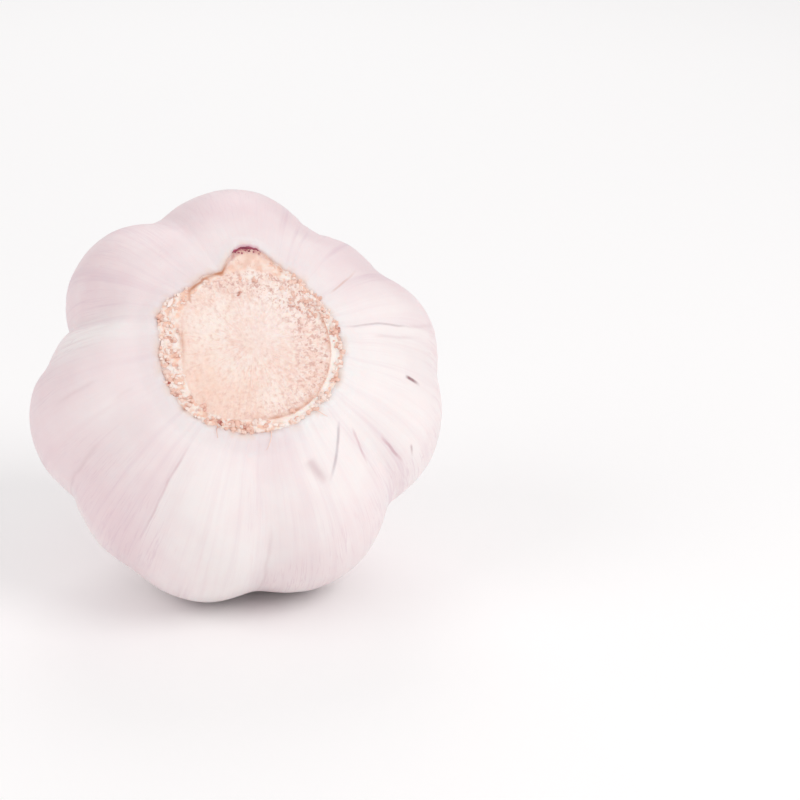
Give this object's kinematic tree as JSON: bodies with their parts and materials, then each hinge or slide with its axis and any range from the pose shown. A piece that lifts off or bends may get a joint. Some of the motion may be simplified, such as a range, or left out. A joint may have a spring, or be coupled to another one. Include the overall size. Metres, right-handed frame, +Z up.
{
  "type": "garlic bulb",
  "caption": "Whole garlic bulb lying on its side in pale papery skin, with lobed sides, a root plate ringed by trimmed root stubs and a short cut neck.",
  "frame": {"origin": "on the surface the bulb lies on, under the middle of its bounding box", "axes": "+Z up; the root plate faces -Y and upwards, and the cut neck points to +Y and downwards"},
  "size_m": [0.0608, 0.0664, 0.0573],
  "materials": {
    "bulb_skin": "satin",
    "root_plate": "matte"
  },
  "bodies": {
    "root": {"bulb": "bulb_skin", "root_plate": "root_plate"}
  },
  "joints": []
}
